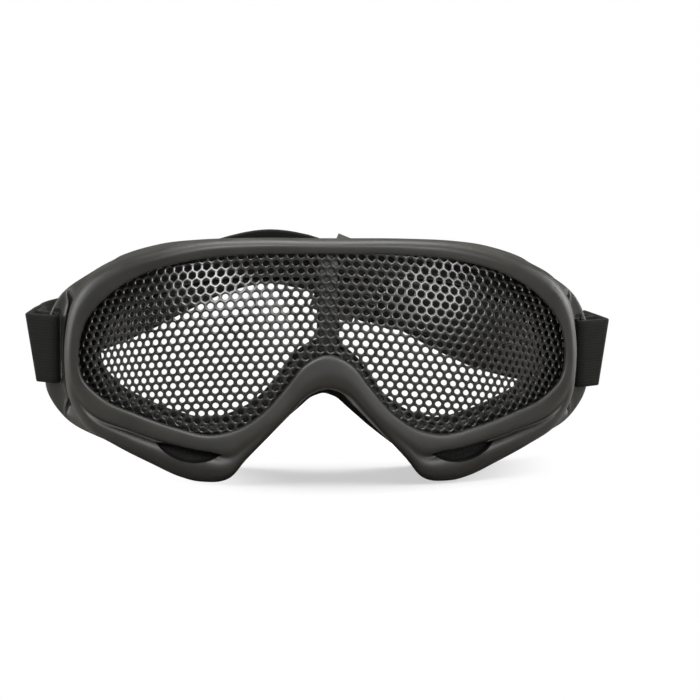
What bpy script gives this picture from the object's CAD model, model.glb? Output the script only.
from math import ceil, cos, exp, hypot, log, pi, radians, sin, sqrt, tan

import bpy
import numpy as np
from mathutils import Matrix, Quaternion, Vector
from mathutils.kdtree import KDTree


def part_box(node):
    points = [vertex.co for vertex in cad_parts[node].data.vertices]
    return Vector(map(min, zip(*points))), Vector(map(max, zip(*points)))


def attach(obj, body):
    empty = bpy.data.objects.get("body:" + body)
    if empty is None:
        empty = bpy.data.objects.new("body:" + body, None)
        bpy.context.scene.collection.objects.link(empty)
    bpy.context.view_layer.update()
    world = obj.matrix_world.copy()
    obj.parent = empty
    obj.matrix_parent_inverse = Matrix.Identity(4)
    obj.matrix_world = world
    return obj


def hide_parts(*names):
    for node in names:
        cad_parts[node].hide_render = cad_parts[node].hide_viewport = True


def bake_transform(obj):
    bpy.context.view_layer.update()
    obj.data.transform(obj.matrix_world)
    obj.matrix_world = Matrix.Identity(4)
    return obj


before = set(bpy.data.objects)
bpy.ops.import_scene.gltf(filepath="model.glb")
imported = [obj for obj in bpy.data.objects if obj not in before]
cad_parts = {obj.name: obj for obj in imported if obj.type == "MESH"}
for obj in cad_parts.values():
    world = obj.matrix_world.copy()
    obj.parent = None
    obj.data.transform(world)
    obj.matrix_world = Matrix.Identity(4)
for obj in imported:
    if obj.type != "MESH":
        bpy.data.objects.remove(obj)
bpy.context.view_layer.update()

# Camera
# A long lens a little above the goggles and a little to their right, as in a shop picture.
# Its place and turn are fitted to the lens opening, both ears and the nose arch.

MM = 0.001
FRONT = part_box("frame")[0].y / MM     # the foremost line of the frame, in millimetres
SENSOR_WIDTH = 36.0
FOCAL_SHARE = 1800 / 700              # focal length over the width of the picture
CAMERA_AZIMUTH = -4.3
CAMERA_ELEVATION = 8.0
CAMERA_ROLL = 0.6
CAMERA_DISTANCE = 520.0
CAMERA_NEAR = 0.01                    # where its view starts, in metres
CAMERA_AIM = (6.6, FRONT + 8.0, 39.0)


def metres(x, y, z):
    """A point in metres, from millimetres."""
    return Vector((x * MM, y * MM, z * MM))


azimuth = radians(CAMERA_AZIMUTH)
elevation = radians(CAMERA_ELEVATION)
back = Vector((sin(azimuth) * cos(elevation), -cos(azimuth) * cos(elevation), sin(elevation)))
camera_data = bpy.data.cameras.new("camera")
camera_data.sensor_width = SENSOR_WIDTH
camera_data.lens = SENSOR_WIDTH * FOCAL_SHARE
camera_data.clip_start = CAMERA_NEAR
camera = bpy.data.objects.new("camera", camera_data)
bpy.context.scene.collection.objects.link(camera)
camera.location = metres(*CAMERA_AIM) + back * CAMERA_DISTANCE * MM
camera.rotation_mode = "QUATERNION"
turn = Quaternion((0, 0, 1), radians(CAMERA_ROLL))
camera.rotation_quaternion = (-back).to_track_quat("-Z", "Y") @ turn
bpy.context.scene.camera = camera

# White table and light
# A white sweep under and behind the goggles, with a broad soft box overhead, one at each
# side and two weak ones in front. Two more light only what shines, for the glints on the
# lens. The table keeps the soft shadow under the cheeks.

TABLE_SIZE = 4.0
TABLE_WHITE = "#f4f4f3"
TABLE_BOUNCE = "#a3a19c"  # what the table sends back to the goggles, as a darker card would
SHADOW_SHARE = 0.45       # how much of its light shows by the goggles; the rest is plain white
SOFT_BOXES = (
    # name, place, size, power, all in metres and watts, and whether it lights dull surfaces
    ("key", (0.04, -0.6, 0.36), (0.44, 0.22), 0.2, True),
    ("upper", (0.04, -0.34, 0.7), (0.7, 0.3), 0.2, True),
    ("top", (0.0, 0.0, 0.75), (0.8, 0.62), 11.0, True),
    ("left", (-0.7, 0.2, 0.12), (0.2, 0.4), 2.4, True),
    ("right", (0.7, 0.26, 0.12), (0.2, 0.4), 3.2, True),
    ("glint_left", (-0.26, -0.55, 0.38), (0.34, 0.16), 4.4, False),
    ("glint_right", (0.3, -0.57, 0.24), (0.36, 0.2), 3.0, False),
)
LAMP_AIM = 35.0           # height that the soft boxes point at
SKY_LIGHT = 0.08
SHADOW_NEAR = 0.03        # the table keeps its shadows inside this distance, across
SHADOW_FAR = 0.065
SHADOW_RIGHT = 0.012      # from a middle this far to the right
SHADOW_LONG = 2.0         # and this many times as far from front to back


def linear(colour):
    """An sRGB hex colour as the linear numbers that a shader takes."""
    parts = [int(colour[i:i + 2], 16) / 255 for i in (1, 3, 5)]
    return [c / 12.92 if c <= 0.04045 else ((c + 0.055) / 1.055) ** 2.4 for c in parts] + [1.0]


def add_node(tree, kind, values=None, links=None, **settings):
    """Adds a node, sets its options and sockets, and links sockets to other nodes' outputs."""
    node = tree.nodes.new(kind)
    for name, value in settings.items():
        setattr(node, name, value)
    for name, value in (values or {}).items():
        node.inputs[name].default_value = value
    for name, source in (links or {}).items():
        tree.links.new(source, node.inputs[name])
    return node


def new_surface(name):
    """A new material with its node tree and its object coordinates."""
    material = bpy.data.materials.new(name)
    material.use_nodes = True
    made = material.node_tree
    made.nodes.clear()
    return material, made, add_node(made, "ShaderNodeTexCoord").outputs["Object"]


def mixed_shader(tree, share, first, second):
    """Two shaders mixed by a share of the second."""
    return add_node(tree, "ShaderNodeMixShader",
                    links={0: share, 1: first.outputs[0], 2: second.outputs[0]})


def seen_apart(tree, lit, seen):
    """One look for the camera's own view, and another for what lights the goggles."""
    direct = add_node(tree, "ShaderNodeLightPath").outputs["Is Camera Ray"]
    return mixed_shader(tree, direct, lit, seen)


table_material, tree, place = new_surface("white_table_paper")
paper = add_node(tree, "ShaderNodeBsdfDiffuse", {"Color": linear(TABLE_WHITE)})
card = add_node(tree, "ShaderNodeBsdfDiffuse", {"Color": linear(TABLE_BOUNCE)})
glow = add_node(tree, "ShaderNodeEmission", {"Color": (1, 1, 1, 1), "Strength": 1.0})
place = add_node(tree, "ShaderNodeVectorMath", {1: (-SHADOW_RIGHT, 0, 0)}, {0: place}).outputs[0]
place = add_node(tree, "ShaderNodeVectorMath", {1: (1, 1 / SHADOW_LONG, 1)}, {0: place},
                 operation="MULTIPLY").outputs[0]
far = add_node(tree, "ShaderNodeVectorMath", links={0: place}, operation="LENGTH")
whiter = add_node(tree, "ShaderNodeMapRange",
                  {"From Min": SHADOW_NEAR, "From Max": SHADOW_FAR, "To Min": 1 - SHADOW_SHARE,
                   "To Max": 1.0}, {"Value": far.outputs["Value"]}, interpolation_type="SMOOTHSTEP")
mixed = seen_apart(tree, card, mixed_shader(tree, whiter.outputs["Result"], paper, glow))
add_node(tree, "ShaderNodeOutputMaterial", links={"Surface": mixed.outputs[0]})

bpy.ops.mesh.primitive_plane_add(size=TABLE_SIZE, location=(0, 0, 0))
table = bpy.context.object
table.name = "table"
table.data.materials.append(table_material)

world = bpy.data.worlds.new("white_room")
bpy.context.scene.world = world
world.use_nodes = True
tree = world.node_tree
tree.nodes.clear()
sky = add_node(tree, "ShaderNodeBackground", {"Color": (1, 1, 1, 1), "Strength": SKY_LIGHT})
seen_sky = add_node(tree, "ShaderNodeBackground", {"Color": (1, 1, 1, 1), "Strength": 1.0})
mixed = seen_apart(tree, sky, seen_sky)
add_node(tree, "ShaderNodeOutputWorld", links={"Surface": mixed.outputs[0]})

for name, place, size, power, dull in SOFT_BOXES:
    lamp_data = bpy.data.lights.new(name, "AREA")
    lamp_data.shape = "RECTANGLE"
    lamp_data.size, lamp_data.size_y = size
    lamp_data.energy = power
    lamp = bpy.data.objects.new(name, lamp_data)
    bpy.context.scene.collection.objects.link(lamp)
    lamp.location = place
    lamp.visible_diffuse = dull
    aim = metres(0, 0, LAMP_AIM) - Vector(place)
    lamp.rotation_mode = "QUATERNION"
    lamp.rotation_quaternion = aim.to_track_quat("-Z", "Y")

bpy.context.scene.view_settings.view_transform = "Standard"

# Frame
# One soft PVC moulding, injected in one shot: a crowned bezel with a lip over the lens, side
# walls that flare into the strap ears, creased cheeks with a vent in each, and a flange for
# the pad. It is modelled as one closed section carried round the outline.

FRONT_RADIUS = 135.0
FACE_RADIUS = 147.0
CENTRE_DEPTH = 22.0
BODY_HALF_WIDTH = 77.0
BODY_HEIGHT = 71.5
LENS_HALF_WIDTH = 72.2
LENS_SILL = 14.6
LENS_HEIGHT = 52.8
COLUMN_SPACING = 1.35     # between the sections, along the outline
TOP_LIMIT = 73.0          # the top falls towards the face below this height
TOP_FALL = 0.15
TOP_SOFT = 0.5
FLANGE_RIM = 0.3          # how far the flange stands out where there is no ear
NOSE_FLARE = 0.3          # how far it follows the pad out into the nose gap, as a share
RIGHT_DROP = 1.5          # how much lower the webbing and its slot sit in the right ear
SLOT_WALL_FROM = 60.0     # beside a slot, past this x and between these heights, the wall has
SLOT_WALL_HEIGHTS = [14, 20, 49, 54]  # a form of its own, by these shares
SLOT_WALL_SHARES = [0, 1, 1, 0]
FINE_PLACES = 3200        # places at which an outline is measured
WELD = 0.004              # points nearer than this become one
FRAME_SHARP = 38          # edges sharper than this, in degrees, aren't smoothed over

BODY_SHARES = [
    (0, 1.0), (0.29, 1.0), (0.47, 0.985), (0.63, 0.944), (0.78, 0.889), (0.89, 0.821),
    (0.961, 0.72), (0.994, 0.58), (1.0, 0.434), (0.98, 0.295), (0.915, 0.19), (0.8, 0.124),
    (0.66, 0.06), (0.55, 0.013), (0.455, -0.004), (0.368, 0.017), (0.305, 0.097),
    (0.225, 0.19), (0.134, 0.295), (0.068, 0.368), (0, 0.394),
]
LENS_SHARES = [
    (0, 1.0), (0.3, 0.993), (0.53, 0.955), (0.72, 0.876), (0.88, 0.735), (0.965, 0.595),
    (1.0, 0.43), (0.985, 0.27), (0.9, 0.162), (0.76, 0.092), (0.6, 0.03), (0.47, 0),
    (0.36, 0.038), (0.255, 0.137), (0.165, 0.28), (0.085, 0.41), (0, 0.455),
]
FACE_HALF_WIDTH = 66.6
FACE_SILL = 15.3
FACE_HEIGHT = 41.9
FACE_SHARES = [
    (0, 1.0), (0.308, 1.0), (0.511, 0.971), (0.683, 0.895), (0.833, 0.795), (0.931, 0.68),
    (0.995, 0.542), (1.0, 0.375), (0.923, 0.217), (0.781, 0.103), (0.643, 0.031), (0.518, 0),
    (0.41, 0.048), (0.305, 0.146), (0.215, 0.31), (0.14, 0.475), (0, 0.6),
]
# The place on the body's outline that lies outside each point of the lens's
BODY_MATCH = [0, 1.0, 2.2, 3.45, 4.85, 5.95, 7.2, 8.45, 9.9, 11.25, 12.65, 14.0, 15.6, 17.3,
              18.35, 19.2, 20]
# The ears, where their outline leaves that of the body: place on the body's outline, x and z
EAR_PLACES = {5: (69.8, 58.1), 6: (79.4, 50.6), 7: (83.9, 41.2), 8: (84.3, 31.0),
              9: (83.9, 21.0), 10: (77.8, 13.1), 11: (66.6, 8.1)}
# How far the pad swells out into the nose gap, at each lens point
PAD_NOSE = [0] * 12 + [0.8, 3.2, 4.2, 4.8, 5.0]
# The crease under the bezel: its place between lens and edge, and its depth, at each lens point
CREASE_PLACE = [0.5] * 7 + [0.6, 0.5, 0.42, 0.35, 0.33, 0.45, 0.55] + [0.5] * 3
CREASE_DEPTH = [0] * 7 + [0, 0.55, 0.95, 1, 1, 0.3, 0] + [0] * 3


def bowed(x, depth):
    """How far back a point of the bowed front lies, at a depth behind its surface."""
    return FRONT + FRONT_RADIUS - sqrt((FRONT_RADIUS - depth) ** 2 - x * x)


def faced(x, depth):
    """The same for the bowed side that meets the face."""
    return FRONT + CENTRE_DEPTH + FACE_RADIUS - sqrt((FACE_RADIUS - depth) ** 2 - x * x)


def between(a, b, share):
    return a + (b - a) * share


def mirrored(points):
    """A half outline, from top centre to nose, closed with its mirror image."""
    return points + [(-x, z) for x, z in reversed(points[1:-1])]


def on_loop(points, place):
    """A point on the smooth closed curve through the points. Whole places are the points."""
    count = len(points)
    start = int(place // 1)
    p0, p1, p2, p3 = [Vector(points[(start + k) % count]) for k in (-1, 0, 1, 2)]
    d0, d1, d2 = (p1 - p0).length, (p2 - p1).length, (p3 - p2).length
    out = ((p1 - p0) / d0 * d1 + (p2 - p1) / d1 * d0) / (d0 + d1) * d1
    into = ((p2 - p1) / d1 * d2 + (p3 - p2) / d2 * d1) / (d1 + d2) * d1
    t = place - start
    rest = 1 - t
    return (p1 * (1 + 2 * t) * rest * rest + out * t * rest * rest
            + p2 * (3 - 2 * t) * t * t - into * t * t * rest)


def outward(points, place):
    """The unit normal of that curve, out of the outline."""
    step = 0.02
    along = on_loop(points, place + step) - on_loop(points, place - step)
    return Vector((-along.y, along.x)).normalized()


def table_at(values, place):
    """A value from a table of one half of the outline, for a place anywhere on it."""
    last = len(values) - 1
    if place > last:
        place = 2 * last - place
    return float(np.interp(place, range(last + 1), values))


body_half = [(x * BODY_HALF_WIDTH, z * BODY_HEIGHT) for x, z in BODY_SHARES]
lens_half = [(x * LENS_HALF_WIDTH, LENS_SILL + z * LENS_HEIGHT) for x, z in LENS_SHARES]
body_loop = mirrored(body_half)
lens_loop = mirrored(lens_half)
face_loop = mirrored([(x * FACE_HALF_WIDTH, FACE_SILL + z * FACE_HEIGHT) for x, z in FACE_SHARES])
ear_loop = mirrored([EAR_PLACES.get(i, point) for i, point in enumerate(body_half)])
half_places = len(LENS_SHARES) - 1


def body_place(place):
    """The place on the body's outline outside a place on the lens's outline."""
    if place > half_places:
        return 2 * (len(BODY_SHARES) - 1) - table_at(BODY_MATCH, place)
    return table_at(BODY_MATCH, place)


def even_places(points, place_of, spacing):
    """Places round the lens's outline, an even distance apart along another outline."""
    fine = np.linspace(0, 2 * half_places, FINE_PLACES, endpoint=False)
    spots = [on_loop(points, place_of(p)) for p in fine]
    steps = [(b - a).length for a, b in zip(spots, spots[1:] + spots[:1])]
    length = np.concatenate(([0], np.cumsum(steps)))
    count = 2 * ceil(length[-1] / spacing / 2)
    marks = np.linspace(0, length[-1], count, endpoint=False)
    return [float(np.interp(m, length[:-1], fine)) for m in marks]


columns = []
for place in even_places(body_loop, body_place, COLUMN_SPACING):
    outer = body_place(place)
    body = on_loop(body_loop, outer)
    out = outward(body_loop, outer)
    ear = on_loop(ear_loop, outer)
    swell = table_at(PAD_NOSE, place)
    slot_wall = 0
    if abs(body.x) > SLOT_WALL_FROM:
        slot_wall = float(np.interp(body.y, SLOT_WALL_HEIGHTS, SLOT_WALL_SHARES))
    if (ear - body).length < FLANGE_RIM:
        ear = body + out * (FLANGE_RIM + NOSE_FLARE * swell)
    columns.append({
        "lens": on_loop(lens_loop, place), "lens_out": outward(lens_loop, place),
        "body": body, "body_out": out, "ear": ear, "face": on_loop(face_loop, place),
        "crease": table_at(CREASE_PLACE, place), "creased": table_at(CREASE_DEPTH, place),
        "swell": swell, "slot": slot_wall,
    })

# Lip: outwards from the opening, and depth behind the front
LIP_ROWS = [(1.75, 3.65), (1.8, 3.0), (1.75, 2.45), (0.7, 2.4), (0.15, 2.2), (-0.1, 1.7),
            (-0.05, 0.95), (0.1, 0.55)]
# Bezel: share of the way out and depth, plain and creased. Under a crease the share is
# counted to the crease, and past it to the edge.
BEZEL_ROWS = [
    (0.035, 0.28, 0.09, 0.28), (0.12, 0.16, 0.4, 0.16), (0.28, 0.05, 0.72, 0.15),
    (0.39, 0.0, 0.89, 0.4), (0.48, 0.0, 0.97, 1.1), (0.56, 0.05, 1.02, 2.2),
    (0.63, 0.2, 1.07, 2.25), (0.70, 0.4, 1.14, 1.25), (0.77, 0.65, 1.28, 0.6),
    (0.83, 1.0, 1.45, 0.45), (0.88, 1.45, 1.62, 0.7), (0.92, 1.95, 1.74, 1.25),
    (0.95, 2.5, 1.80, 2.0), (0.98, 3.2, 1.86, 2.1), (1.0, 4.2, 1.93, 2.7), (1.0, 5.2, 2.0, 4.6),
]

# Wall: share from bezel to flange, share from body to ear and set-back, beside a slot and
# where the wall flares into the ear
WALL_ROWS = [
    (0.2, 0, -0.1, 0.2, 0.08), (0.45, 0, -0.4, 0.45, 0.27), (0.72, 0, -0.8, 0.7, 0.52),
    (0.95, 0, -1.0, 0.87, 0.75), (1.07, 0, -0.7, 0.93, 0.84), (1.07, 0.13, 0, 0.96, 0.89),
    (0.94, 0.16, 0, 0.975, 0.92), (0.93, 0.25, 0, 0.985, 0.94), (1.0, 0.29, 0, 0.99, 0.955),
    (1.0, 0.6, 0, 1.0, 0.97), (1.0, 0.92, 0, 1.01, 0.985), (1.03, 0.985, 0, 1.04, 0.995),
]
# Back of the flange: share from body to ear, or from body to face opening, and depth
FLANGE_ROWS = [(1.0, -1.2), (0.985, -0.35), (0.9, 0), (0.5, 0), (0, 0), (-0.3, 0), (-0.6, 0),
               (-0.86, 0), (-0.9, -0.5), (-0.9, -1.9), (-0.86, -2.4), (-0.6, -2.4), (-0.35, -2.5)]
# Inside: the corner where the flange leaves the wall, the wall and the ledge behind the lens, by
# how far they lie outside an outline, and depth
CORNER_ROWS = [(-2.4, -3.2)]
HOLLOW_ROWS = [(-2.4, 7.5), (-2.5, 5.6), (-3.0, 5.0)]
LEDGE_ROWS = [(0.6, 5.0), (0.1, 4.85), (0.0, 4.3), (0.3, 3.75)]
FLANGE_THICKNESS = 2.4
LIP_OUT = LIP_ROWS[-1][0]


def settled(point, y, drop=0):
    """The point in space, under the falling top and pressed flat where a cheek meets the table."""
    over = point.y + drop - (TOP_LIMIT - TOP_FALL * (y - FRONT))
    z = point.y - TOP_SOFT * log(1 + exp(over / TOP_SOFT))
    return metres(point.x, y, max(z, 0.0))


def offset_point(column, outline, grow, side, depth, drop=0):
    """A point beside one of the outlines, at a depth from the bowed or the faced side."""
    point = column[outline] + column[outline + "_out"] * grow
    return settled(point, side(point.x, depth), drop)


def lip_point(column, grow, depth):
    return offset_point(column, "lens", grow, bowed, depth)


def bezel_point(column, share, depth, crease_share, crease_depth):
    crease = column["crease"]
    if crease_share > 1:
        creased = between(crease, 1, crease_share - 1)
    else:
        creased = crease * crease_share
    share = between(share, creased, column["creased"])
    depth = between(depth, crease_depth, column["creased"])
    start = column["lens"] + column["lens_out"] * LIP_OUT
    point = start.lerp(column["body"], share)
    return settled(point, bowed(point.x, depth))


def wall_point(column, back, out, inset, flare_back, flare_out):
    slot = column["slot"]
    back = between(flare_back, back, slot)
    share = between(flare_out, out, slot)
    point = column["body"].lerp(column["ear"], share) + column["body_out"] * inset * slot
    near = bowed(point.x, BEZEL_ROWS[-1][1])
    return settled(point, between(near, faced(point.x, -FLANGE_THICKNESS), back))


def flange_point(column, share, depth):
    if share < 0:
        point = column["body"].lerp(column["face"], -share)
    else:
        point = column["body"].lerp(column["ear"], share)
    return settled(point, faced(point.x, depth))


def corner_point(column, inwards, depth):
    return offset_point(column, "body", inwards, faced, depth, -inwards)


def hollow_point(column, inwards, depth):
    return offset_point(column, "body", inwards, bowed, depth, -inwards)


section = []
for point_of, rows in ((lip_point, LIP_ROWS), (bezel_point, BEZEL_ROWS), (wall_point, WALL_ROWS),
                       (flange_point, FLANGE_ROWS), (corner_point, CORNER_ROWS),
                       (hollow_point, HOLLOW_ROWS), (lip_point, LEDGE_ROWS)):
    section += [(point_of, row) for row in rows]


def wrapped_grid(name, across, along, place_of, close_across=True, close_along=True, uv_of=None):
    """A flat grid wrapped over a shape: place_of gives the point of each of its crossings."""
    bpy.ops.mesh.primitive_grid_add(x_subdivisions=across, y_subdivisions=along)
    grid = bpy.context.object
    grid.name = name
    grid.data.name = name
    if uv_of:
        flat = grid.data.uv_layers.active.data
        for loop in grid.data.loops:
            row, column = divmod(loop.vertex_index, across + 1)
            flat[loop.index].uv = uv_of(column, row)
    for index, vertex in enumerate(grid.data.vertices):
        row, column = divmod(index, across + 1)
        column = column % across if close_across else column
        row = row % along if close_along else row
        vertex.co = place_of(column, row)
    finish_mesh(grid)
    return grid


def select(*pieces):
    """Selects these pieces alone, the first one active."""
    bpy.ops.object.select_all(action="DESELECT")
    for piece in pieces:
        piece.select_set(True)
    bpy.context.view_layer.objects.active = pieces[0]


def finish_mesh(piece):
    """Welds the seams of a new mesh and turns its faces outwards, smooth all over."""
    select(piece)
    bpy.ops.object.mode_set(mode="EDIT")
    bpy.ops.mesh.select_all(action="SELECT")
    bpy.ops.mesh.remove_doubles(threshold=WELD * MM)
    bpy.ops.mesh.normals_make_consistent(inside=False)
    bpy.ops.object.mode_set(mode="OBJECT")
    piece.data.polygons.foreach_set("use_smooth", [True] * len(piece.data.polygons))


def apply_modifier(piece, kind, **settings):
    """Adds a modifier with its settings and applies it."""
    select(piece)
    modifier = piece.modifiers.new(kind.lower(), kind)
    for setting, value in settings.items():
        setattr(modifier, setting, value)
    bpy.ops.object.modifier_apply(modifier=modifier.name)


goggle_frame = wrapped_grid("goggle_frame", len(columns), len(section),
                            lambda c, r: section[r][0](columns[c], *section[r][1]))
apply_modifier(goggle_frame, "SUBSURF", levels=1, render_levels=1)

# The vents and strap slots are cut through the moulding
SLOT_IN = 79.0
SLOT_OUT = 81.4
SLOT_LOW = 24.7
SLOT_HIGH = 47.0
SLOT_CORNER = 1.0
SLOT_NEAR = 34.0          # where the cut through an ear starts and ends, behind the front
SLOT_FAR = 58.0
VENT_OUTER = (49.6, 11.6)
VENT_INNER = (30.2, 9.1)
VENT_CROWN = (40.0, 10.6)
VENT_BELLY = (39.3, 6.2)
VENT_NEAR = -5.0
VENT_FAR = 21.0
VENT_TOP_STEPS = 16
VENT_BOTTOM_STEPS = 24


def arc_through(first, middle, last, count):
    """Points on the arc through three places, without its last."""
    (ax, ay), (bx, by), (cx, cy) = first, middle, last
    d = 2 * (ax * (by - cy) + bx * (cy - ay) + cx * (ay - by))
    a2, b2, c2 = ax * ax + ay * ay, bx * bx + by * by, cx * cx + cy * cy
    ux = (a2 * (by - cy) + b2 * (cy - ay) + c2 * (ay - by)) / d
    uy = (a2 * (cx - bx) + b2 * (ax - cx) + c2 * (bx - ax)) / d
    centre = Vector((ux, uy))
    start = Vector(first) - centre
    sweep = start.angle_signed(Vector(last) - centre)
    points = []
    for k in range(count):
        angle = -sweep * k / count
        turned = Vector((start.x * cos(angle) - start.y * sin(angle),
                         start.x * sin(angle) + start.y * cos(angle)))
        points.append(centre + turned)
    return points


def prism(name, points, near, far):
    """A closed upright outline of (x, z) points, pushed back from near to far."""
    mesh = bpy.data.meshes.new(name)
    count = len(points)
    spots = [metres(x, near, z) for x, z in points] + [metres(x, far, z) for x, z in points]
    faces = [tuple(range(count)), tuple(range(count, 2 * count))]
    faces += [(i, (i + 1) % count, count + (i + 1) % count, count + i) for i in range(count)]
    mesh.from_pydata(spots, [], faces)
    piece = bpy.data.objects.new(name, mesh)
    bpy.context.scene.collection.objects.link(piece)
    finish_mesh(piece)
    return piece


def cut(piece, cutter):
    """Cuts the cutter out of the piece, once the slivers of earlier cuts are welded."""
    finish_mesh(piece)
    apply_modifier(piece, "BOOLEAN", operation="DIFFERENCE", solver="EXACT", object=cutter)
    bpy.data.objects.remove(cutter)


def rounded_box_outline(x0, x1, z0, z1, radius):
    points = []
    for cx, cz, start in ((x1 - radius, z1 - radius, 0), (x0 + radius, z1 - radius, 90),
                          (x0 + radius, z0 + radius, 180), (x1 - radius, z0 + radius, 270)):
        for k in range(5):
            angle = radians(start + k * 22.5)
            points.append((cx + radius * cos(angle), cz + radius * sin(angle)))
    return points


vent_top = arc_through(VENT_OUTER, VENT_CROWN, VENT_INNER, VENT_TOP_STEPS)
vent_bottom = arc_through(VENT_INNER, VENT_BELLY, VENT_OUTER, VENT_BOTTOM_STEPS)
for side, drop in ((-1, 0), (1, RIGHT_DROP)):
    slot = rounded_box_outline(SLOT_IN, SLOT_OUT, SLOT_LOW - drop, SLOT_HIGH - drop, SLOT_CORNER)
    cut(goggle_frame, prism("slot", [(side * x, z) for x, z in slot],
                            FRONT + SLOT_NEAR, FRONT + SLOT_FAR))
    cut(goggle_frame, prism("vent", [(side * x, z) for x, z in vent_top + vent_bottom],
                            FRONT + VENT_NEAR, FRONT + VENT_FAR))

# The post behind the lens at the nose
POST_WIDTH = 6.4
POST_DEPTH = 3.0
POST_NEAR = 3.75
POST_LOW = 34.0
POST_HIGH = 69.0
POST_EDGE = 0.8           # round of the post's edges
post_middle = metres(0, FRONT + POST_NEAR + POST_DEPTH / 2, (POST_LOW + POST_HIGH) / 2)
bpy.ops.mesh.primitive_cube_add(size=1, location=post_middle)
post = bpy.context.object
post.scale = metres(POST_WIDTH, POST_DEPTH, POST_HIGH - POST_LOW)
bpy.ops.object.transform_apply(location=True, rotation=True, scale=True)
apply_modifier(post, "BEVEL", width=POST_EDGE * MM, segments=3)
select(goggle_frame, post)
bpy.ops.object.join()
goggle_frame.data.polygons.foreach_set("use_smooth", [True] * len(goggle_frame.data.polygons))
bpy.ops.object.shade_smooth_by_angle(angle=radians(FRAME_SHARP))

# Moulded soft PVC: dark grey, satin from a fine spark-eroded mould, a little dusty and scuffed
PVC_GREY = "#292824"
PVC_LIGHT = "#34332d"
GRAIN = 0.35              # grain of the mould, in millimetres, drawn coarse enough to show
MOTTLE = 14.0             # size of the duller and lighter patches


def per_size(size):
    """The scale of a texture whose features are this many millimetres across."""
    return 1 / (size * MM)


def ramp(tree, source, low, high, start, end):
    """Colours or numbers between two limits of a pattern."""
    node = add_node(tree, "ShaderNodeMapRange", {"From Min": start, "From Max": end,
                                                 "To Min": low, "To Max": high}, {"Value": source})
    return node.outputs["Result"]


def clouds(tree, spot, size, detail):
    """A cloudy pattern of this size."""
    return add_node(tree, "ShaderNodeTexNoise", {"Scale": per_size(size), "Detail": detail},
                    {"Vector": spot}).outputs["Fac"]


def mixed_colour(tree, dark, light, share):
    return add_node(tree, "ShaderNodeMix", {6: linear(dark), 7: linear(light)}, {0: share},
                    data_type="RGBA").outputs[2]


def relief(tree, height, strength, depth):
    """Normals that show a pattern as relief of this depth in millimetres."""
    return add_node(tree, "ShaderNodeBump", {"Strength": strength, "Distance": depth * MM},
                    {"Height": height}).outputs[0]


def finish_surface(tree, values, links):
    """The shader of a material, from its values and patterns."""
    shader = add_node(tree, "ShaderNodeBsdfPrincipled", values, links)
    add_node(tree, "ShaderNodeOutputMaterial", links={"Surface": shader.outputs[0]})


def dress(piece, material):
    piece.data.materials.clear()
    piece.data.materials.append(material)


pvc, tree, spot = new_surface("soft_pvc")
mottle = clouds(tree, spot, MOTTLE, 4.0)
grain = clouds(tree, spot, GRAIN, 2.0)
shade = mixed_colour(tree, PVC_GREY, PVC_LIGHT, ramp(tree, mottle, 0, 1, 0.35, 0.7))
gloss = ramp(tree, mottle, 0.42, 0.56, 0.3, 0.7)
finish_surface(tree, {"IOR": 1.5}, {"Base Color": shade, "Roughness": gloss,
                                    "Normal": relief(tree, grain, 0.18, 0.05)})
dress(goggle_frame, pvc)
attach(goggle_frame, "goggles")
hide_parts("frame")

# Mesh lens
# Mild steel sheet punched with staggered holes, pressed into a shallow dome before each eye,
# bowed to the frame and painted black. Its plain edge is held in the groove under the lip.

SHEET_DEPTH = 2.92        # middle of the sheet, behind the bowed front
SHEET = 0.64
SHEET_RIM = 1.5           # how far the sheet runs under the lip
HOLE_PITCH = 2.87
ROW_PITCH = 2.25
HOLE_WIDE = 1.84
HOLE_HIGH = 1.7
ROW_DROOP = 0.5           # how far a row sinks, as a share of how far the sheet bows back there
ROW_FAN = 0.04            # how much closer the rows stand at the outer ends
ROW_SKEW = 0.03           # fall of the rows from left to right, as the blank was punched
FLANK_PULL = 1.5          # how much the pressed flanks of a dome draw the holes together
DOME_X = 21.64            # centre of the ball that a dome is part of
DOME_Y = 61.73
DOME_Z = 41.5
DOME_RADIUS = 60.0
DOME_BLEND = 0.4
CELLS_ACROSS = 67
CELLS_HIGH = 14
CELL_SIDES = 18
LAID_HEIGHT = 32.0        # the flat sheet is laid out this far up and down from its middle,
LAID_LEVELS = 65          # at this many levels,
LAID_REACH = 100.0        # and this far to each side, at this many places
LAID_PLACES = 801
CURVE_REACH = 80.0        # the bowed sheet is measured this far to each side, at as many points
CURVE_POINTS = 1601
RIM_STEP = 0.3            # between the points of its outline
SLOPE_STEP = 0.05         # the sheet's lean is measured over twice this distance
# The metal between two holes, from the middle of its front to the middle of its back: share
# of the way to the hole, and depth in the sheet
STRAND_ROWS = [(0, -0.5), (0.5, -0.49), (0.85, -0.38), (1, 0), (0.7, 0.45), (0, 0.5)]


def sheet_depth(x, z):
    """How far the middle of the sheet lies behind the foremost line of the frame."""
    bow = FRONT_RADIUS - np.sqrt((FRONT_RADIUS - SHEET_DEPTH) ** 2 - x * x)
    room = DOME_RADIUS ** 2 - (np.abs(x) - DOME_X) ** 2 - (z - DOME_Z) ** 2
    dome = DOME_Y - np.sqrt(np.maximum(room, 1))
    return bow - DOME_BLEND * np.log1p(np.exp((bow - dome) / DOME_BLEND))


corner_high = (HOLE_PITCH ** 2 / 4 + ROW_PITCH ** 2) / (2 * ROW_PITCH)
corner_low = ROW_PITCH - corner_high
half_pitch = HOLE_PITCH / 2
cell_corners = [Vector((x, z)) for x, z in (
    (half_pitch, corner_low), (0, corner_high), (-half_pitch, corner_low),
    (-half_pitch, -corner_low), (0, -corner_high), (half_pitch, -corner_low))]


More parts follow.
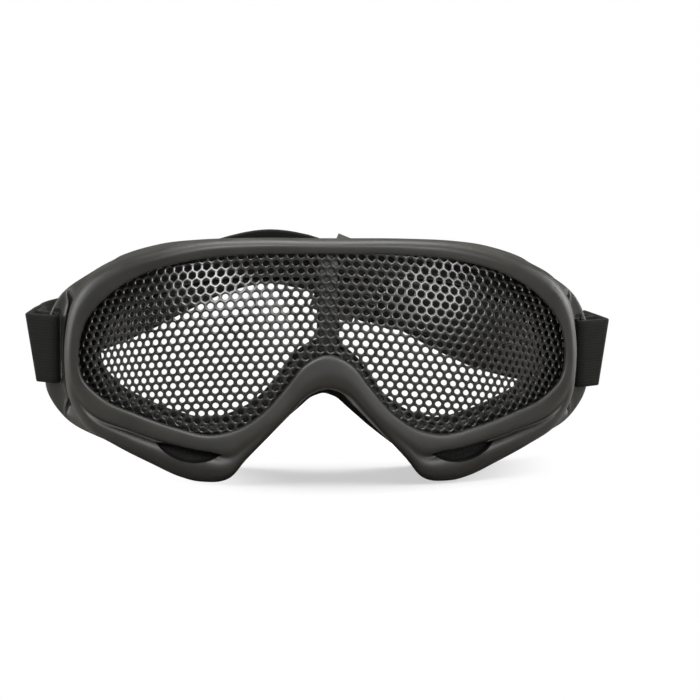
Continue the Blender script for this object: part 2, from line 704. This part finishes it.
def cell_point(side, row):
    """A point of one cell of the sheet: a six-sided edge that narrows to a round hole."""
    steps = CELL_SIDES // 6
    corner, step = divmod(side, steps)
    edge = cell_corners[corner].lerp(cell_corners[(corner + 1) % 6], step / steps)
    towards = Vector((edge.x / HOLE_WIDE, edge.y / HOLE_HIGH)).normalized()
    hole = Vector((towards.x * HOLE_WIDE / 2, towards.y * HOLE_HIGH / 2))
    share, depth = STRAND_ROWS[row]
    spot = edge.lerp(hole, share)
    return metres(spot.x, depth * SHEET, spot.y)


mesh_lens = wrapped_grid("mesh_lens", CELL_SIDES, len(STRAND_ROWS) - 1, cell_point,
                         close_along=False)
mesh_lens.location = metres(-HOLE_PITCH * (CELLS_ACROSS - 0.5) / 2, 0,
                            -ROW_PITCH * (CELLS_HIGH - 0.5))
apply_modifier(mesh_lens, "ARRAY", count=CELLS_ACROSS, use_relative_offset=False,
               use_constant_offset=True, constant_offset_displace=metres(HOLE_PITCH, 0, 0))
apply_modifier(mesh_lens, "ARRAY", count=CELLS_HIGH, use_relative_offset=False,
               use_constant_offset=True, constant_offset_displace=metres(0, 0, 2 * ROW_PITCH))
bpy.ops.object.duplicate()
bpy.context.object.location += metres(half_pitch, 0, ROW_PITCH)
mesh_lens.select_set(True)
bpy.context.view_layer.objects.active = mesh_lens
bpy.ops.object.join()
bpy.ops.object.transform_apply(location=True, rotation=True, scale=True)
finish_mesh(mesh_lens)

# The flat sheet is laid over the domes, with the holes an even distance apart along it
count = len(mesh_lens.data.vertices)
flat = np.empty(count * 3)
mesh_lens.data.vertices.foreach_get("co", flat)
flat = flat.reshape(-1, 3) / MM
middle = LENS_SILL + LENS_HEIGHT / 2
levels = np.linspace(-LAID_HEIGHT, LAID_HEIGHT, LAID_LEVELS)
reach = np.linspace(-LAID_REACH, LAID_REACH, LAID_PLACES)
run = np.linspace(-CURVE_REACH, CURVE_REACH, CURVE_POINTS)
spread = []
for level in levels:
    slope = np.gradient(sheet_depth(run, middle + level), run)
    length = np.cumsum(np.sqrt(1 + FLANK_PULL * slope * slope)) * (run[1] - run[0])
    length -= np.interp(0, run, length)
    spread.append(np.interp(reach, length, run))
spread = np.array(spread)
# Each point's place among those levels and places, kept just inside the last of them
row_at = np.clip((flat[:, 2] - levels[0]) / (levels[1] - levels[0]), 0, len(levels) - 1.001)
place_at = np.clip((flat[:, 0] - reach[0]) / (reach[1] - reach[0]), 0, len(reach) - 1.001)
row, column = row_at.astype(int), place_at.astype(int)
below = between(spread[row, column], spread[row, column + 1], place_at - column)
above = between(spread[row + 1, column], spread[row + 1, column + 1], place_at - column)
x = between(below, above, row_at - row)
bowed_back = FRONT_RADIUS - np.sqrt(FRONT_RADIUS ** 2 - x * x)
fan = 1 - ROW_FAN * (x / LENS_HALF_WIDTH) ** 2
z = middle + flat[:, 2] * fan - ROW_DROOP * bowed_back - ROW_SKEW * x

# The sheet ends at its own outline, under the lip: holes that cross it are left closed
rim = []
for place in even_places(lens_loop, lambda p: p, RIM_STEP):
    out = outward(lens_loop, place)
    rim.append((on_loop(lens_loop, place) + out * SHEET_RIM, out))
rim_finder = KDTree(len(rim))
for index, (point, _) in enumerate(rim):
    rim_finder.insert((point.x, point.y, 0), index)
rim_finder.balance()
beyond = np.zeros(count, dtype=bool)
for index in range(count):
    _, nearest, _ = rim_finder.find((x[index], z[index], 0))
    point, out = rim[nearest]
    if (x[index] - point.x) * out.x + (z[index] - point.y) * out.y > 0:
        beyond[index] = True
        x[index], z[index] = point

step = SLOPE_STEP
lean_x = (sheet_depth(x + step, z) - sheet_depth(x - step, z)) / (2 * step)
lean_z = (sheet_depth(x, z + step) - sheet_depth(x, z - step)) / (2 * step)
scale = flat[:, 1] / np.sqrt(1 + lean_x ** 2 + lean_z ** 2)
placed = np.stack([x - lean_x * scale, FRONT + sheet_depth(x, z) + scale, z - lean_z * scale],
                  axis=1)
mesh_lens.data.vertices.foreach_set("co", (placed * MM).ravel())
for polygon in mesh_lens.data.polygons:
    polygon.select = all(beyond[v] for v in polygon.vertices)
for edge in mesh_lens.data.edges:
    edge.select = False
for vertex in mesh_lens.data.vertices:
    vertex.select = False
bpy.context.tool_settings.mesh_select_mode = (False, False, True)
bpy.ops.object.mode_set(mode="EDIT")
bpy.ops.mesh.delete(type="FACE")
bpy.context.tool_settings.mesh_select_mode = (True, False, False)
bpy.ops.object.mode_set(mode="OBJECT")
finish_mesh(mesh_lens)

# Black enamel on steel: semi-gloss, with a slightly uneven film
ENAMEL_BLACK = "#080807"
ENAMEL_WORN = "#121110"
FILM = 6.0                # size of the uneven patches in the film
enamel, tree, spot = new_surface("black_enamel_on_steel")
film = clouds(tree, spot, FILM, 3.0)
shade = mixed_colour(tree, ENAMEL_BLACK, ENAMEL_WORN, ramp(tree, film, 0, 1, 0.4, 0.75))
gloss = ramp(tree, film, 0.24, 0.36, 0.3, 0.7)
finish_surface(tree, {"IOR": 1.65}, {"Base Color": shade, "Roughness": gloss})
dress(mesh_lens, enamel)
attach(mesh_lens, "goggles")
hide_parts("mesh_lens")

# Face pad
# One ring of soft closed-cell foam, die cut and glued to the flange, with its edges rounded
# where it meets the face.

PAD_INSET = 0.6
# Way in from each edge of the pad, and depth behind the flange
PAD_ROWS = [(0, 0.15), (-0.05, 2.2), (0, 4.6), (0.3, 6.3), (1.0, 7.4), (2.1, 7.95)]
PAD_CROWN = 8.1


def pad_point(column, row):
    swell = columns[column]["swell"] - PAD_INSET
    outer = columns[column]["body"] + columns[column]["body_out"] * swell
    inner = columns[column]["face"]
    across = (inner - outer).normalized()
    if row == len(PAD_ROWS):
        point, depth = (outer + inner) / 2, PAD_CROWN
    elif row < len(PAD_ROWS):
        point, depth = outer + across * PAD_ROWS[row][0], PAD_ROWS[row][1]
    else:
        inwards, depth = PAD_ROWS[2 * len(PAD_ROWS) - row]
        point = inner - across * inwards
    return settled(point, faced(point.x, depth), PAD_INSET)


face_pad = wrapped_grid("face_pad", len(columns), 2 * len(PAD_ROWS) + 1, pad_point)
apply_modifier(face_pad, "SUBSURF", levels=1, render_levels=1)


def foam_surface(name, dark, light, cell, depth):
    """Foam rubber: small cells cut open all over a dull surface."""
    foam, tree, spot = new_surface(name)
    cells = add_node(tree, "ShaderNodeTexVoronoi", {"Scale": per_size(cell)}, {"Vector": spot})
    cells = cells.outputs["Distance"]
    shade = mixed_colour(tree, dark, light, ramp(tree, cells, 0, 1, 0.1, 0.7))
    finish_surface(tree, {"Roughness": 0.92, "IOR": 1.4},
                   {"Base Color": shade, "Normal": relief(tree, cells, 0.7, depth)})
    return foam


PAD_BLACK = "#0f0f0f"
PAD_GREY = "#201f1e"
PAD_CELL = 0.7            # size of the foam's cells, and their depth
PAD_CELL_DEPTH = 0.25
dress(face_pad, foam_surface("black_pad_foam", PAD_BLACK, PAD_GREY, PAD_CELL, PAD_CELL_DEPTH))
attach(face_pad, "goggles")
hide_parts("face_pad")

# Vent foams
# A slab of open filter foam behind each cheek vent, cut to the shape of the vent with a margin
# and glued inside the frame.

VENT_FOAM_NEAR = 5.1
VENT_FOAM_FAR = 8.0
VENT_MARGIN = 1.3
VENT_FOAM_COLUMNS = 28
FILTER_BLACK = "#080808"
FILTER_GREY = "#222120"
FILTER_CELL = 0.9
FILTER_CELL_DEPTH = 0.5
SHARP = 40                # edges sharper than this, in degrees, aren't smoothed over
# Share of the height and of the depth, round the section of a slab
SLAB_ROWS = [(0.04, 0), (0.3, -0.03), (0.6, -0.03), (0.96, 0), (1, 0.15), (1, 0.85), (0.96, 1),
             (0.6, 1.02), (0.3, 1.02), (0.04, 1), (0, 0.85), (0, 0.15)]


def edge_height(points, x):
    """Height of a curve of (x, z) points at x."""
    spots = sorted(tuple(p) for p in points)
    return float(np.interp(x, [p[0] for p in spots], [p[1] for p in spots]))


filter_foam = foam_surface("black_filter_foam", FILTER_BLACK, FILTER_GREY, FILTER_CELL,
                           FILTER_CELL_DEPTH)
for side, node in ((-1, "vent_foam_left"), (1, "vent_foam_right")):
    def slab_point(around, along):
        x = between(VENT_INNER[0] - VENT_MARGIN, VENT_OUTER[0] + VENT_MARGIN,
                    along / VENT_FOAM_COLUMNS)
        low = edge_height(vent_bottom + [VENT_OUTER], x) - VENT_MARGIN
        high = edge_height(vent_top + [VENT_INNER], x) + VENT_MARGIN
        up, deep = SLAB_ROWS[around]
        return metres(side * x, bowed(x, between(VENT_FOAM_NEAR, VENT_FOAM_FAR, deep)),
                      between(low, high, up))

    foam = wrapped_grid(node, len(SLAB_ROWS), VENT_FOAM_COLUMNS, slab_point, close_along=False)
    bpy.ops.object.mode_set(mode="EDIT")
    bpy.ops.mesh.select_all(action="DESELECT")
    bpy.ops.mesh.select_non_manifold(extend=False)
    bpy.ops.mesh.edge_face_add()
    bpy.ops.object.mode_set(mode="OBJECT")
    finish_mesh(foam)
    bpy.ops.object.shade_smooth_by_angle(angle=radians(SHARP))
    dress(foam, filter_foam)
    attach(foam, "goggles")
    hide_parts(node)

# Strap
# One length of black elastic webbing. It is sewn back on itself round the left ear, runs
# behind the head, turns through the right ear and comes back to the slider.

WEBBING_WIDTH = 21.0
WEBBING = 1.4
LAYER_PITCH = 1.75        # between the middles of two layers
STRAP_HALF = 87.55
STRAP_LEVEL = 34.5
STRAP_BEND = 69.0         # where the bend behind the head starts, behind the front
STRAP_REACH = 50.0
STRAP_CLIMB = 22.5
STRAIGHT_FROM = 0         # the strap runs straight between these two angles of the bend
STRAIGHT_TO = 22
# The run behind the head: angle round the bend, climb as a share, lean in degrees
STRAP_SHAPE = [
    (-90, 0, 0), (-70, 0.02, 1), (-52, 0.09, 5), (-40, 0.3, 10), (-30, 0.57, 15),
    (-20, 0.84, 20), (-9, 1.0, 23), (0, 0.87, 21), (22, 0.29, 21), (30, 0.02, 15),
    (42, -0.27, 9), (55, -0.37, 4), (70, -0.26, 1), (90, -RIGHT_DROP / STRAP_CLIMB, 0),
]
# The upper and the lower edge of the webbing where it turns through an ear: x and distance
# behind the front, from the inner layer forwards through the slot and back outside the ear
LEFT_UPPER = [(86.1, 64.4), (87.2, 54.8), (80.2, 47.9), (80.2, 41.2), (89.7, 47.2), (89.0, 57.0),
              (88.5, 63.5), (87.55, 69.0)]
LEFT_LOWER = [(86.1, 64.4), (84.6, 52.4), (80.2, 47.9), (80.2, 41.2), (86.2, 45.0), (87.1, 57.0),
              (87.4, 63.5), (87.55, 69.0)]
RIGHT_UPPER = [(84.05, 69.0), (85.7, 62.0), (87.7, 55.4), (80.2, 47.9), (80.2, 41.2), (90.5, 47.7),
               (89.3, 57.0), (87.55, 69.0)]
RIGHT_LOWER = [(84.05, 69.0), (84.5, 62.0), (85.3, 53.0), (80.2, 47.9), (80.2, 41.2), (87.2, 45.6),
               (87.3, 57.0), (87.55, 69.0)]
FOLD_RADIUS = 1.1
FOLD_LIMIT = 0.45         # the most of a leg that a fold takes up, as a share
FOLD_STEPS = 7
LEG_STEPS = 6
STATION_STEP = 1.5        # between the sections behind the head, in degrees
SHAPE_ROUND = 4.0         # how far the corners of the shape above are rounded off, in degrees
RETURN_END = 20.8         # the return ends inside the sewn end, from the start of the straight
RETURN_RISE = 7.6         # how far the return stands above the outer layer, midway
RETURN_LATE = 2.2         # the higher this is, the nearer to the slider it stands highest
SELVAGE = 0.5             # how far the round of a selvage reaches in
CUT_END = 0.05            # thickness at a cut end, as a share


def rounded_path(points, radius):
    """A polyline with rounded corners, as an even number of points for each of its parts."""
    points = [Vector(p) for p in points]
    path = []
    last = points[0]
    for before, corner, after in zip(points, points[1:], points[2:]):
        arriving = (corner - before).normalized()
        leaving = (after - corner).normalized()
        half = arriving.angle(leaving) / 2
        setback = min(radius * tan(half), FOLD_LIMIT * (corner - before).length,
                      FOLD_LIMIT * (after - corner).length)
        enter, leave = corner - arriving * setback, corner + leaving * setback
        path += [last.lerp(enter, k / LEG_STEPS) for k in range(LEG_STEPS)]
        for k in range(FOLD_STEPS):
            t = k / FOLD_STEPS
            path.append(enter.lerp(corner, t).lerp(corner.lerp(leave, t), t))
        last = leave
    return path + [last.lerp(points[-1], k / LEG_STEPS) for k in range(LEG_STEPS + 1)]


def strap_shape(angle):
    """Climb share and lean of the strap round its bend, smooth but for the straight stretch."""
    reach = min(SHAPE_ROUND, 90 - abs(angle), abs(angle - STRAIGHT_FROM),
                abs(angle - STRAIGHT_TO))
    near = angle + reach * np.linspace(-1, 1, 5)
    angles, climbs, leans = zip(*STRAP_SHAPE)
    return np.interp(near, angles, climbs).mean(), np.interp(near, angles, leans).mean()


def strap_centre(angle):
    turn = radians(angle)
    climb = strap_shape(angle)[0]
    return Vector((STRAP_HALF * sin(turn), FRONT + STRAP_BEND + STRAP_REACH * cos(turn),
                   STRAP_LEVEL + STRAP_CLIMB * climb))


straight_start = strap_centre(STRAIGHT_FROM)
straight_run = strap_centre(STRAIGHT_TO) - straight_start


def strap_station(angle, offset):
    """Middle, outward and upward directions of the webbing at an angle round its bend."""
    centre = strap_centre(angle)
    if STRAIGHT_FROM <= angle <= STRAIGHT_TO:
        share = (angle - STRAIGHT_FROM) / (STRAIGHT_TO - STRAIGHT_FROM)
        centre = straight_start + straight_run * share
        along = straight_run.normalized()
    else:
        along = (strap_centre(angle + 0.5) - strap_centre(angle - 0.5)).normalized()
    lean = radians(strap_shape(angle)[1])
    inwards = Vector((along.y, -along.x, 0)).normalized()
    up = Vector((0, 0, cos(lean))) + inwards * sin(lean)
    up = (up - along * up.dot(along)).normalized()
    out = up.cross(along)
    return centre + out * offset, out, up


def ear_stations(upper, lower, side, level):
    """Stations of the webbing through an ear, from the paths of its two edges."""
    tops = [Vector((side * p.x, FRONT + p.y, level + WEBBING_WIDTH / 2))
            for p in rounded_path(upper, FOLD_RADIUS)]
    bottoms = [Vector((side * p.x, FRONT + p.y, level - WEBBING_WIDTH / 2))
               for p in rounded_path(lower, FOLD_RADIUS)]
    middles = [(a + b) / 2 for a, b in zip(tops, bottoms)]
    stations = []
    for index, middle in enumerate(middles):
        ahead = middles[min(index + 1, len(middles) - 1)]
        along = ahead - middles[max(index - 1, 0)]
        up = (tops[index] - bottoms[index]) / WEBBING_WIDTH
        stations.append((middle, up.cross(along).normalized(), up))
    return stations


def webbing_profile():
    """Section of the webbing: thickness and width of each point, with rounded selvages."""
    half, wide = WEBBING / 2, WEBBING_WIDTH / 2
    turns = [radians(angle) for angle in (0, 30, 60, 90)]
    face = [(half * sin(turn), wide - SELVAGE * (1 - cos(turn))) for turn in turns]
    face += [(half, wide * share) for share in (0.8, 0.6, 0.4, 0.2)]
    front = face + [(half, 0)] + [(u, -v) for u, v in reversed(face)]
    return front + [(-u, v) for u, v in reversed(front[1:-1])]


PROFILE = webbing_profile()


def ribbon(name, stations):
    """Webbing along its stations, with both cut ends closed and its weave measured in metres."""
    squeezed = [CUT_END] + [1.0] * len(stations) + [CUT_END]
    stations = [stations[0]] + stations + [stations[-1]]
    along = [0.0]
    for (a, _, _), (b, _, _) in zip(stations, stations[1:]):
        along.append(along[-1] + (b - a).length * MM)
    around = [0.0]
    for (u0, v0), (u1, v1) in zip(PROFILE, PROFILE[1:] + PROFILE[:1]):
        around.append(around[-1] + hypot(u1 - u0, v1 - v0) * MM)

    def place(column, row):
        centre, out, up = stations[row]
        u, v = PROFILE[column]
        return (centre + out * u * squeezed[row] + up * v) * MM

    return wrapped_grid(name, len(PROFILE), len(stations) - 1, place, close_along=False,
                        uv_of=lambda column, row: (along[row], around[column]))


left_ear = ear_stations(LEFT_UPPER, LEFT_LOWER, -1, STRAP_LEVEL)
right_ear = ear_stations(RIGHT_UPPER, RIGHT_LOWER, 1, STRAP_LEVEL - RIGHT_DROP)[::-1]
bend = [strap_station(a, 0) for a in np.arange(-90 + STATION_STEP, 90, STATION_STEP)]
bend_back = []
for angle in np.arange(90 - STATION_STEP, STRAIGHT_TO, -STATION_STEP):
    centre, out, up = strap_station(angle, -2 * LAYER_PITCH)
    rise = RETURN_RISE * sin(pi * ((90 - angle) / (90 - STRAIGHT_TO)) ** RETURN_LATE)
    bend_back.append((centre + up * rise, out, up))
bend_back.append(strap_station(STRAIGHT_TO, -2 * LAYER_PITCH))
centre, out, up = strap_station(STRAIGHT_FROM, -2 * LAYER_PITCH)
bend_back.append((centre + straight_run.normalized() * RETURN_END, out, up))
turned = [(centre, -out, up) for centre, out, up in bend_back]
head_strap = ribbon("head_strap", left_ear + bend + right_ear + turned)

# Elastic webbing: polyester picks over covered rubber cords, so fine ribs run along it
WEBBING_BLACK = "#0c0b0a"
WEBBING_GREY = "#191815"
RIB = 0.9                 # width of a rib, in millimetres
PICK = 0.7                # length of a stitch along a rib
DUST = 9.0                # size of its dusty patches


def maths(tree, operation, values=None, links=None):
    return add_node(tree, "ShaderNodeMath", values, links, operation=operation).outputs[0]


def waves(tree, place, size, shift=None):
    """Waves of this length along the flat measure of the webbing, shifted by an angle."""
    angle = maths(tree, "MULTIPLY", {1: 2 * pi * per_size(size)}, {0: place})
    if shift:
        angle = maths(tree, "ADD", links={0: angle, 1: shift})
    return maths(tree, "SINE", links={0: angle})


webbing, tree, spot = new_surface("black_elastic_webbing")
flat = add_node(tree, "ShaderNodeTexCoord").outputs["UV"]
flat = add_node(tree, "ShaderNodeSeparateXYZ", links={0: flat}).outputs
ribs = waves(tree, flat["Y"], RIB)
half_rib = maths(tree, "MULTIPLY", {1: pi}, {0: waves(tree, flat["Y"], 2 * RIB)})
picks = waves(tree, flat["X"], PICK, half_rib)
weave = maths(tree, "MULTIPLY_ADD", {1: 0.5}, {0: picks, 2: ribs})
lit = maths(tree, "MULTIPLY_ADD", {1: 0.35}, {0: weave, 2: clouds(tree, spot, DUST, 4.0)})
shade = mixed_colour(tree, WEBBING_BLACK, WEBBING_GREY, ramp(tree, lit, 0, 1, 0.1, 1.1))
finish_surface(tree, {"Roughness": 0.8, "IOR": 1.3, "Sheen Weight": 0.04, "Sheen Roughness": 0.5},
               {"Base Color": shade, "Normal": relief(tree, weave, 0.15, 0.1)})
dress(head_strap, webbing)
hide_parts("strap", "strap_return", "strap_loop_left", "strap_loop_right")
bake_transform(head_strap)

# Sewn end
# The other end of the webbing: it goes round the slider's middle bar and is sewn to itself,
# with the return running between its two layers.

END_LENGTH = 14.0
SLIDER_PLACE = 14.0
SLIDER_LENGTH = 16.0
BAR_LENGTH = 3.0
CLEARANCE = 0.3
TURN_RADIUS = 1.6
centre, slider_out, slider_up = strap_station(STRAIGHT_FROM, 0)
slider_along = straight_run.normalized()
slider_centre = centre + slider_along * SLIDER_PLACE


def at_slider(x, y, z):
    """A point from the slider's own measures: along the strap, outwards and across it."""
    return slider_centre + slider_along * x + slider_out * y + slider_up * z


turn = -BAR_LENGTH / 2 - CLEARANCE - WEBBING / 2
end_path = rounded_path([(END_LENGTH, -LAYER_PITCH), (turn, -LAYER_PITCH), (turn, -3 * LAYER_PITCH),
                         (END_LENGTH, -3 * LAYER_PITCH)], TURN_RADIUS)
end_stations = []
for index, spot in enumerate(end_path):
    ahead = end_path[min(index + 1, len(end_path) - 1)] - end_path[max(index - 1, 0)]
    along = (slider_along * ahead.x + slider_out * ahead.y).normalized()
    end_stations.append((at_slider(spot.x, spot.y, 0), slider_up.cross(along), slider_up))
sewn_end = ribbon("sewn_end", end_stations)
dress(sewn_end, webbing)
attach(sewn_end, "adjuster")
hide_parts("strap_end")

# Slider
# A three-bar adjuster moulded in acetal: two rails joined by a bar at each end, outside the
# strap, and by a middle bar inside it that holds the sewn end.

RAIL_WIDTH = 2.6
BAR_THICKNESS = 1.5
SLIDER_EDGE = 0.45
RAIL_GAP = 22.6           # between the rails
BAR_RUN_IN = 1.0          # how far a bar runs into the rails
rail_near = RAIL_GAP / 2
rail_far = rail_near + RAIL_WIDTH
bar_near = WEBBING / 2 + CLEARANCE
bar_far = bar_near + BAR_THICKNESS
middle_near = -1.5 * LAYER_PITCH
middle_far = -2.5 * LAYER_PITCH


def slider_block(x0, x1, y0, y1, z0, z1):
    """A block of the slider, from its own measures."""
    bpy.ops.mesh.primitive_cube_add(size=1)
    block = bpy.context.object
    for vertex in block.data.vertices:
        x, y, z = [share + 0.5 for share in vertex.co]
        vertex.co = at_slider(between(x0, x1, x), between(y0, y1, y), between(z0, z1, z)) * MM
    finish_mesh(block)
    return block


half = SLIDER_LENGTH / 2
slider = slider_block(-half, half, middle_far, bar_far, rail_near, rail_far)
blocks = [slider_block(-half, half, middle_far, bar_far, -rail_far, -rail_near)]
reach = rail_near + BAR_RUN_IN
for x0, x1, y0, y1 in ((-half, BAR_LENGTH - half, bar_near, bar_far),
                       (half - BAR_LENGTH, half, bar_near, bar_far),
                       (-BAR_LENGTH / 2, BAR_LENGTH / 2, middle_far, middle_near)):
    blocks.append(slider_block(x0, x1, y0, y1, -reach, reach))
slider.name = "slider"
for block in blocks:
    apply_modifier(slider, "BOOLEAN", operation="UNION", solver="EXACT", object=block)
    bpy.data.objects.remove(block)
apply_modifier(slider, "BEVEL", width=SLIDER_EDGE * MM, segments=3, limit_method="ANGLE",
               angle_limit=radians(SHARP))
finish_mesh(slider)
bpy.ops.object.shade_smooth_by_angle(angle=radians(SHARP))

# Acetal: smooth and slightly waxy, with faint flow marks
ACETAL_BLACK = "#3a3836"
FLOW_MARKS = 5.0          # size of the marks
acetal, tree, spot = new_surface("black_acetal")
gloss = ramp(tree, clouds(tree, spot, FLOW_MARKS, 3.0), 0.34, 0.5, 0.3, 0.7)
finish_surface(tree, {"Base Color": linear(ACETAL_BLACK), "IOR": 1.48}, {"Roughness": gloss})
dress(slider, acetal)
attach(slider, "adjuster")
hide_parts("slider")

# Stitches
# Bar tacks of bonded polyester thread, one through the webbing at the left ear and one
# through the sewn end: close rows of stitches, each sunk a little into the webbing.

THREAD_RADIUS = 0.27
STITCH_ROWS = 9
STITCH_PITCH = 2.2
STITCH_LENGTH = 5.0
STITCH_BITS = 2           # stitches in the length of one row
STITCH_GAP = 0.04         # room at each end of a stitch, as a share of it
STITCH_STEPS = 8          # sections along a stitch, and points round each
STITCH_SIDES = 8
THREAD_SUNK = 0.12
THREAD_DIP = 0.3          # how much deeper the ends of a stitch lie
EAR_LEG = 5               # the leg outside the ear starts at this point of the left ear's paths
EAR_TACK = 57.6           # its tack starts here, behind the front
TACK_MARGIN = 0.6         # from the other tack to the cut end of the webbing


def bar_tack(name, spot_of):
    """Rows of short stitches. spot_of gives a point on the webbing and the way out of it."""
    pieces = []
    bit = STITCH_LENGTH / STITCH_BITS
    for row in range(STITCH_ROWS):
        across = (row - (STITCH_ROWS - 1) / 2) * STITCH_PITCH
        for number in range(STITCH_BITS):
            def stitch_point(side, step):
                share = step / STITCH_STEPS
                along = bit * (number + STITCH_GAP + (1 - 2 * STITCH_GAP) * share)
                spot, out, up = spot_of(along, across)
                thick = THREAD_RADIUS * sqrt(max(0.02, 1 - (2 * share - 1) ** 6))
                rise = THREAD_RADIUS - THREAD_SUNK - THREAD_DIP * (2 * share - 1) ** 4
                angle = 2 * pi * side / STITCH_SIDES
                return (spot + out * (rise + thick * cos(angle)) + up * thick * sin(angle)) * MM

            pieces.append(wrapped_grid(name, STITCH_SIDES, STITCH_STEPS, stitch_point,
                                       close_along=False))
    select(*pieces)
    bpy.ops.object.join()
    pieces[0].name = name
    return pieces[0]


def leg_edge(path, y):
    """x of one edge of the leg outside the ear."""
    xs, ys = zip(*path[EAR_LEG:EAR_LEG + 2])
    return float(np.interp(y, ys, xs))


def at_left_ear(along, across):
    """A place on the outer face of the leg outside the left ear."""
    y = EAR_TACK + along
    share = 0.5 + across / WEBBING_WIDTH
    x = between(leg_edge(LEFT_LOWER, y), leg_edge(LEFT_UPPER, y), share) + WEBBING / 2
    return Vector((-x, FRONT + y, STRAP_LEVEL + across)), Vector((-1, 0, 0)), Vector((0, 0, 1))


def at_sewn_end(along, across):
    """A place on the inner face of the sewn end."""
    x = END_LENGTH - TACK_MARGIN - STITCH_LENGTH + along
    return at_slider(x, -3 * LAYER_PITCH - WEBBING / 2, across), -slider_out, slider_up


# Bonded polyester: twisted, with a slight sheen
THREAD_BLACK = "#24221f"
TWIST = 0.5               # length of one turn of the thread's twist
WAVE_BANDS = 20           # the wave texture draws about this many bands to a unit of its scale
thread, tree, spot = new_surface("black_polyester_thread")
twist = add_node(tree, "ShaderNodeTexWave",
                 {"Scale": per_size(TWIST) / WAVE_BANDS, "Distortion": 0.5}, {"Vector": spot},
                 bands_direction="DIAGONAL").outputs["Fac"]
finish_surface(tree, {"Base Color": linear(THREAD_BLACK), "Roughness": 0.55, "IOR": 1.5},
               {"Normal": relief(tree, twist, 0.5, 0.05)})
for node, body, spot_of in (("ear_stitches", "goggles", at_left_ear),
                            ("end_stitches", "adjuster", at_sewn_end)):
    tack = bar_tack(node, spot_of)
    dress(tack, thread)
    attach(tack, body)
    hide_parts(node)
